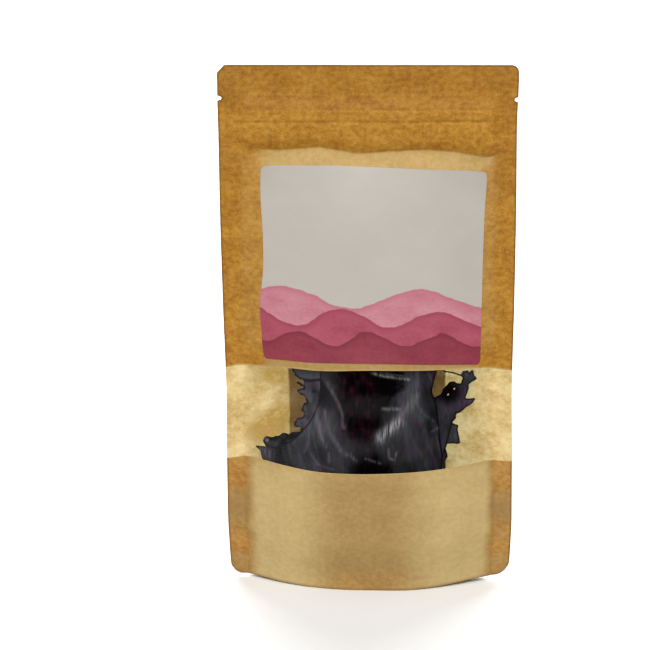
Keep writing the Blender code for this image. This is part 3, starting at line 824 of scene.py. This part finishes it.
class Look:
    """A material, with short calls for the nodes that the looks share."""

    def __init__(self, name):
        self.material = bpy.data.materials.new(name)
        self.material.use_nodes = True
        self.tree = self.material.node_tree
        self.tree.nodes.clear()
        self.place = self.node("UVMap", {"uv_map": "flat"}).outputs[0]

    def feed(self, socket, value):
        if isinstance(value, bpy.types.Node):
            value = value.outputs[0]
        if isinstance(value, bpy.types.NodeSocket):
            self.tree.links.new(value, socket)
        else:
            socket.default_value = scene_colour(value) if socket.type == "RGBA" else value

    def node(self, kind, settings=None, **inputs):
        """A node; an input's name has _ for each space, and its value is a number or a node."""
        made = self.tree.nodes.new("ShaderNode" + kind)
        for key, value in (settings or {}).items():
            setattr(made, key, value)
        for key, value in inputs.items():
            self.feed(made.inputs[key.replace("_", " ")], value)
        return made

    def math(self, operation, *values, clamp=False):
        made = self.tree.nodes.new("ShaderNodeMath")
        made.operation = operation
        made.use_clamp = clamp
        for socket, value in zip(made.inputs, values):
            self.feed(socket, value)
        return made.outputs[0]

    def times(self, value, factor, clamp=False):
        return self.math("MULTIPLY", value, factor, clamp=clamp)

    def scaled(self, value, factor, plus, clamp=False):
        return self.math("MULTIPLY_ADD", value, factor, plus, clamp=clamp)

    def mark(self, name):
        return self.node("Attribute", {"attribute_name": name}).outputs["Fac"]

    def noise(self, x, y, detail=4.0, rough=0.55):
        """Cloudy noise with x and y waves a unit of the look's place."""
        stretched = self.tree.nodes.new("ShaderNodeVectorMath")
        stretched.operation = "MULTIPLY"
        self.feed(stretched.inputs[0], self.place)
        stretched.inputs[1].default_value = (x, y, 1)
        return self.node("TexNoise", Vector=stretched, Scale=1.0, Detail=detail, Roughness=rough).outputs[0]

    def ramp(self, at, *stops):
        """Colours by a number: stops are (number, colour)."""
        made = self.node("ValToRGB", Fac=at)
        elements = made.color_ramp.elements
        while len(elements) < len(stops):
            elements.new(0.5)
        for element, (place, shade) in zip(elements, stops):
            element.position = place
            element.color = scene_colour(shade)
        return made.outputs[0]

    def mix(self, share, first, second, blend="MIX"):
        made = self.tree.nodes.new("ShaderNodeMix")
        made.data_type = "RGBA"
        made.blend_type = blend
        self.feed(made.inputs[0], share)
        self.feed(made.inputs[6], first)
        self.feed(made.inputs[7], second)
        return made.outputs[2]

    def mixed(self, share, first, second):
        """A mix of two shaders."""
        made = self.tree.nodes.new("ShaderNodeMixShader")
        for socket, value in zip(made.inputs, (share, first, second)):
            self.feed(socket, value)
        return made

    def bump(self, height, distance):
        return self.node("Bump", Height=height, Distance=distance).outputs[0]

    def done(self, surface):
        output = self.node("OutputMaterial")
        self.feed(output.inputs["Surface"], surface)
        return self.material


def kraft_tone(look):
    """Cloudy mottling of kraft paper, about 0.5 on average, and its blotches and fibres."""
    clouds = look.noise(9, 11, 3)
    blotches = look.noise(42, 48, 5, 0.6)
    fibres = look.noise(160, 220, 4, 0.65)
    tone = look.scaled(clouds, 0.26, look.times(blotches, 0.44))
    return look.scaled(fibres, 0.30, tone), blotches, fibres


def kraft(name, plain, warm, pale, motley):
    """Kraft paper: mottled, between reddish and olive, warm on its seals, with painted highlights and
    painted shade at its creases, zip and edges.

    plain holds its dark, middle and light tone, warm and pale the dark and light tone of the warm
    mark and of the pale mark of painted highlights and pale edges, and motley is how strongly its hue
    varies.
    """
    look = Look(name)
    tone, blotches, fibres = kraft_tone(look)
    highlight_and_pale = look.mark("pale")
    shade = look.ramp(tone, *zip((0.40, 0.50, 0.60), plain))
    # The warm seals, then the pale mark: painted highlights and pale edges
    for share, tones in ((look.mark("warm"), warm), (highlight_and_pale, pale)):
        shade = look.mix(share, shade, look.ramp(tone, *zip((0.42, 0.58), tones)))
    hue = look.ramp(look.noise(26, 30), (0.40, (1.0, 0.91, 0.97, 1)), (0.60, (0.99, 1.0, 0.84, 1)))
    tinted = look.mix(1.0, shade, hue, "MULTIPLY")
    shade = look.mix(look.scaled(highlight_and_pale, -0.6 * motley, motley), shade, tinted)
    # Painted shade: the dark mark darkens the paper towards brown
    shade = look.mix(look.times(look.mark("dark"), 0.6), shade, (104, 62, 14))
    height = look.scaled(fibres, 0.5, blotches)
    shader = look.node("BsdfPrincipled", Base_Color=shade, Normal=look.bump(height, 0.00016),
                       Roughness=look.scaled(blotches, 0.25, 0.45), Specular_IOR_Level=0.25)
    return look.done(shader)


def inner_kraft_look():
    """The back panel's inner face: crinkled, glossy and lit through from behind."""
    look = Look("inner_kraft")
    patches = look.noise(9, 11, 3)
    crinkle = look.noise(38, 46, 6, 0.65)
    fine = look.noise(120, 140, 4, 0.6)
    tone = look.scaled(patches, 0.42, look.scaled(crinkle, 0.34, 0.05))
    tone = look.scaled(fine, 0.14, tone)
    brown = look.ramp(tone, (0.36, (173, 129, 68)), (0.48, (193, 153, 94)),
                      (0.60, (213, 181, 122)))
    yellow = look.ramp(tone, (0.38, (212, 183, 124)), (0.49, (238, 224, 181)),
                       (0.58, (254, 247, 224)))
    hollows = 0.0
    for across, up, turn, length, height in HOLLOWS:
        hollow = look.node("Mapping", {"vector_type": "TEXTURE"}, Vector=look.place,
                           Location=(across, up, 0), Rotation=(0, 0, turn), Scale=(length, height, 1))
        hollow = look.node("TexGradient", {"gradient_type": "SPHERICAL"}, Vector=hollow).outputs["Fac"]
        hollows = look.scaled(hollow, 2.2, hollows, clamp=True)
    hollows = look.times(hollows, look.scaled(crinkle, 4.0, -1.15, clamp=True))
    brown = look.mix(hollows, brown, (160, 120, 58))
    yellow = look.mix(hollows, yellow, (222, 188, 112))
    normal = look.bump(look.scaled(fine, 0.3, crinkle), 0.0004)
    surface = look.node("BsdfPrincipled", Base_Color=brown, Roughness=0.45, Normal=normal)
    through = look.node("BsdfTranslucent", Color=yellow, Normal=normal)
    return look.done(look.mixed(0.62, surface, through))


def outer_back_look():
    """The back panel's outer face: kraft that lets some light through."""
    look = Look("outer_kraft")
    tone, blotches, fibres = kraft_tone(look)
    shade = look.ramp(tone, (0.40, (146, 98, 36)), (0.50, (172, 124, 56)), (0.60, (192, 146, 78)))
    # Painted shade of the dark mark at the crease, zip and seals
    shade = look.mix(look.times(look.mark("dark"), 0.5), shade, (104, 62, 14))
    normal = look.bump(look.scaled(fibres, 0.5, blotches), 0.00016)
    surface = look.node("BsdfPrincipled", Base_Color=shade, Roughness=0.6, Normal=normal)
    through = look.node("BsdfTranslucent", Color=(230, 228, 196))
    return look.done(look.mixed(0.5, surface, through))


def film_look():
    """Clear film: a thin pane that mirrors a little of the room."""
    look = Look("clear_film")
    normal = look.bump(look.noise(90, 14, 3), 0.00005)
    slant = look.node("LayerWeight", Blend=0.5, Normal=normal).outputs["Facing"]
    mirror = look.scaled(look.math("POWER", slant, 5), 0.9, 0.015)
    clear = look.node("BsdfTransparent")
    gloss = look.node("BsdfGlossy", Color=(1, 1, 1, 1), Roughness=0.04, Normal=normal)
    return look.done(look.mixed(mirror, clear, gloss))


def wave_print(look, paper, bands):
    """Layered wash of rounded waves along the foot of a label."""
    split = look.node("SeparateXYZ", Vector=look.place)
    u, v = split.outputs[0], split.outputs[1]
    grain = look.noise(60, 60, 5, 0.7)
    wash = look.noise(5, 9, 4)
    shade = paper
    for level, height, count, phase, light, dark in bands:
        swell = look.math("SINE", look.scaled(u, 2 * pi * count, phase))
        wobble = look.scaled(wash, 0.06, level - 0.03)
        depth = look.math("SUBTRACT", look.scaled(swell, height, wobble), v)
        inside = look.times(depth, 220, clamp=True)
        rim = look.scaled(depth, -14, 1, clamp=True)
        tint = look.scaled(look.scaled(grain, 0.6, wash), 1.5, -0.75, clamp=True)
        tint = look.math("MAXIMUM", tint, look.times(rim, 0.8))
        shade = look.mix(inside, shade, look.mix(tint, light, dark))
    return shade


def label_look(name, bands, clear=0.0, painted_top_shade=0.0):
    """Smooth off-white label paper with its print, and painted shade along its top edge.

    clear is the share of light it lets through, and the last argument how much painted shade darkens its top
    edge.
    """
    look = Look(name)
    cloud = look.noise(3, 3, 3)
    grain = look.noise(90, 80, 4, 0.6)
    paper = look.ramp(look.scaled(grain, 0.25, look.times(cloud, 0.75)),
                      (0.35, (191, 184, 173)), (0.65, (196, 189, 178)))
    # Painted shade: the top edge darker, towards a greyer paper tone
    bent = look.node("SeparateXYZ", Vector=look.place).outputs[1]
    bent = look.scaled(bent, 5.0, -4.1, clamp=True)
    paper = look.mix(look.times(bent, painted_top_shade), paper, (172, 165, 154))
    shade = wave_print(look, paper, bands)
    shader = look.node("BsdfPrincipled", Base_Color=shade, Roughness=look.scaled(grain, 0.12, 0.42),
                       Normal=look.bump(grain, 0.00003))
    if clear:
        shader = look.mixed(clear, shader, look.node("BsdfTranslucent", Color=(246, 238, 224)))
    return look.done(shader)


def dulse_look():
    """Dried dulse: near black with crimson patches, a violet or slate grey that is partly dusted and partly
    painted reflection, painted shadow lines at its edges, and pale scuffs with painted highlights.
    """
    look = Look("dried_dulse")
    patches = look.noise(30, 22, 4)
    veins = look.noise(64, 20, 6, 0.6)
    grain = look.noise(210, 120, 3, 0.6)
    strokes = look.node("Mapping", Vector=look.place, Rotation=(0, 0, -0.35), Scale=(120, 16, 1))
    strokes = look.node("TexNoise", Vector=strokes, Scale=1.0, Detail=2.0, Roughness=0.5)
    tone = look.scaled(patches, 0.65, look.times(veins, 0.35))
    crimson = look.ramp(tone, (0.40, (3, 1, 2)), (0.51, (13, 4, 7)), (0.62, (38, 10, 18)))
    fresh = look.mix(look.mark("crimson"), (3, 1, 2), crimson)
    hue = look.math("SUBTRACT", look.noise(22, 18, 3), look.times(look.mark("violet"), 0.3))
    dust_and_reflection_tone = look.ramp(hue, (0.30, (84, 66, 88)), (0.46, (72, 74, 78)))
    # Dusting greys the dark; on the front blade it is also painted reflection of the film's haze
    dust = look.times(look.mark("dust"), look.scaled(veins, 1.6, 0.2), clamp=True)
    shade = look.mix(dust, fresh, dust_and_reflection_tone)
    # Painted shadow line along the frond edges
    rim = look.ramp(look.mark("edge"), (0.45, (1, 1, 1, 1)), (0.95, (0, 0, 0, 1)))
    shade = look.mix(look.times(rim, 0.9), shade, (8, 4, 7))
    # Pale scuffs and creases, streaked, with painted highlights
    pale = look.times(look.mark("pale"), look.scaled(strokes, 3.2, -1.0, clamp=True))
    shade = look.mix(pale, shade, (172, 168, 172))
    height = look.scaled(grain, 0.25, veins)
    shader = look.node("BsdfPrincipled", Base_Color=shade, Normal=look.bump(height, 0.0002),
                       Roughness=look.scaled(veins, 0.2, 0.18), Specular_IOR_Level=0.02)
    through = look.node("BsdfTranslucent", Color=(70, 10, 26))
    return look.done(look.mixed(0.02, shader, through))


def zip_look(name):
    """Milky plastic of the press-to-close tracks."""
    look = Look(name)
    look.place = look.node("TexCoord").outputs["Object"]
    cloud = look.noise(300, 300, 3)
    shade = look.ramp(cloud, (0.3, (214, 212, 204)), (0.7, (232, 230, 224)))
    shader = look.node("BsdfPrincipled", Base_Color=shade, Roughness=look.scaled(cloud, 0.2, 0.25))
    return look.done(shader)


# ---------------------------------------------------------------- stage, lights and camera

CAMERA_AZIMUTH, CAMERA_PITCH, CAMERA_ROLL = 4.98, 12, -0.53
CAMERA_DISTANCE = 1.2
CAMERA_TARGET = Vector((-0.0190, 0, 0.1153))
FOCAL_PIXELS = 2728
PICTURE = 650
SENSOR = 36
FLOOR_HALF = 6
CARD_TARGET = Vector((0, 0, 0.08))
ROOM_LOW, ROOM_HIGH, ROOM_STRENGTH = (0.86, 0.87, 0.88, 1), (1.0, 1.0, 1.0, 1), 0.52
# Lights: name, azimuth, elevation, spread, strength
SUNS = [("key", -2, 44, 50, 2.22), ("back", 180, 32, 60, 4.3)]
# Cards: name, azimuth, elevation, half azimuth, half elevation, distance, glow, softness
CARDS = [("dark_card", -2, 3.5, 13, 10.5, 0.60, 0.001, 0.06),
         ("dark_side_card", 42, 1, 24, 9, 0.60, 0.001, 0.10),
         ("streak_card", 4.5, 0.6, 5, 0.7, 0.55, 1.5, 0.008)]


def direction(azimuth, elevation):
    """Unit vector from the pouch. Azimuth 0 is in front of it and 90 at its right, in degrees."""
    turn, lift = radians(azimuth), radians(elevation)
    return Vector((sin(turn) * cos(lift), -cos(turn) * cos(lift), sin(lift)))


def camera():
    """A long lens in front of the pouch, a little to the right and above."""
    back = direction(CAMERA_AZIMUTH, CAMERA_PITCH)
    data = bpy.data.cameras.new("camera")
    data.sensor_width = SENSOR
    data.lens = FOCAL_PIXELS * SENSOR / PICTURE
    obj = add("camera", data)
    turn = (-back).to_track_quat("-Z", "Y").to_matrix() @ Matrix.Rotation(radians(CAMERA_ROLL), 3, "Z")
    obj.matrix_world = Matrix.Translation(CAMERA_TARGET + back * CAMERA_DISTANCE) @ turn.to_4x4()
    bpy.context.scene.camera = obj


def soft_sun(name, azimuth, elevation, spread, strength):
    """A broad, even light from one side."""
    data = bpy.data.lights.new(name, "SUN")
    data.angle = radians(spread)
    data.energy = strength
    toward = direction(azimuth, elevation)
    add(name, data).matrix_world = toward.to_track_quat("Z", "Y").to_matrix().to_4x4()


def world():
    """White room, brighter overhead."""
    made = bpy.data.worlds.new("room")
    made.use_nodes = True
    nodes, links = made.node_tree.nodes, made.node_tree.links
    place = nodes.new("ShaderNodeTexCoord")
    split = nodes.new("ShaderNodeSeparateXYZ")
    ramp_node = nodes.new("ShaderNodeValToRGB")
    links.new(place.outputs["Generated"], split.inputs[0])
    links.new(split.outputs["Z"], ramp_node.inputs[0])
    low, high = ramp_node.color_ramp.elements
    low.position, low.color = 0.0, ROOM_LOW
    high.position, high.color = 0.9, ROOM_HIGH
    links.new(ramp_node.outputs[0], nodes["Background"].inputs["Color"])
    nodes["Background"].inputs["Strength"].default_value = ROOM_STRENGTH
    bpy.context.scene.world = made


def plane(name, half_width, half_height, material, unseen_by):
    """A flat stage piece that the named kinds of ray pass by."""
    mesh = bpy.data.meshes.new(name)
    mesh.from_pydata([(side * half_width, end * half_height, 0) for side, end in
                      ((-1, -1), (1, -1), (1, 1), (-1, 1))], [], [(0, 1, 2, 3)])
    mesh.materials.append(material)
    obj = add(name, mesh)
    for ray in unseen_by:
        setattr(obj, "visible_" + ray, False)
    return obj


def floor():
    """Pale floor that is clear from below, so that the underside can be looked at."""
    look = Look("floor")
    side = look.node("NewGeometry").outputs["Backfacing"]
    pale = look.node("BsdfPrincipled", Base_Color=(0.90, 0.90, 0.895, 1), Roughness=0.7)
    material = look.done(look.mixed(side, pale, look.node("BsdfTransparent")))
    plane("floor", FLOOR_HALF, FLOOR_HALF, material, ("diffuse", "glossy"))


def card(name, azimuth, elevation, half_azimuth, half_elevation, distance, glow, soft):
    """A card in front that only the film and other gloss mirror. Angles in degrees, seen from the pouch."""
    back = direction(azimuth, elevation)
    half_width, half_height = (distance * tan(radians(half)) for half in (half_azimuth, half_elevation))
    look = Look(name)
    split = look.node("SeparateXYZ", Vector=look.node("TexCoord").outputs["Object"])
    inside = look.math("MINIMUM", *(look.math("SUBTRACT", half, look.math("ABSOLUTE", split.outputs[axis]))
                                    for axis, half in enumerate((half_width, half_height))))
    solid = look.math("DIVIDE", inside, soft * distance, clamp=True)
    surface = look.node("Emission", Color=(1, 1, 1, 1), Strength=glow)
    material = look.done(look.mixed(solid, look.node("BsdfTransparent"), surface))
    obj = plane(name, half_width, half_height, material, ("camera", "diffuse", "shadow", "transmission"))
    obj.matrix_world = (Matrix.Translation(CARD_TARGET + back * distance)
                        @ back.to_track_quat("Z", "Y").to_matrix().to_4x4())


# ---------------------------------------------------------------- the scene

def pouch():
    """The pouch's seven sheets, with their looks."""
    upper = kraft("upper_kraft", [(158, 103, 24), (183, 129, 38), (202, 151, 60)],
                  [(154, 102, 26), (192, 140, 52)], [(186, 151, 88), (201, 168, 106)], 0.75)
    lower = kraft("lower_kraft", [(166, 134, 82), (175, 142, 87), (184, 151, 95)],
                  [(166, 114, 44), (198, 150, 78)], [(202, 173, 114), (213, 186, 126)], 0.4)
    base = kraft("gusset_kraft", [(146, 108, 54), (162, 124, 64), (176, 140, 80)],
                 [(152, 104, 42), (178, 130, 60)], [(154, 122, 72), (174, 142, 90)], 1.0)
    panel("clear_film", "front_film", front_place, FILM_OUT, FILM, [film_look()])
    panel("upper_paper", "front_paper_upper", front_place, PAPER_OUT, PAPER, [upper],
          low=WINDOW_TOP_END, edge=WINDOW_TOP)
    panel("lower_paper", "front_paper_lower", front_place, PAPER_OUT, PAPER, [lower],
          high=WINDOW_BOTTOM_END, edge=WINDOW_BOTTOM)
    panel("back_laminate", "back_panel", back_place, LAMINATE_OUT, LAMINATE,
          [inner_kraft_look(), outer_back_look()])
    gusset(base)
    label("front_sticker", "front_label", FRONT_LABEL, front_place, STICKER_OUT,
          [label_look("front_sticker", FRONT_WAVES, painted_top_shade=0.7)], LABEL_EDGES)
    label("back_sticker", "back_label", BACK_LABEL, back_place, BACK_STICKER_OUT,
          [label_look("back_sticker", BACK_WAVES, 0.4)])


def zip_tracks(frame):
    """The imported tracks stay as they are, with a look of their own."""
    for name in ("zip_track_front", "zip_track_back"):
        data = frame["nodes"][name].data
        data.materials.clear()
        data.materials.append(zip_look(name))


def main():
    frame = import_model()
    bpy.context.scene.view_settings.view_transform = "Standard"
    camera()
    world()
    floor()
    for sun in SUNS:
        soft_sun(*sun)
    for plan in CARDS:
        card(*plan)
    pouch()
    dulse()
    zip_tracks(frame)


main()
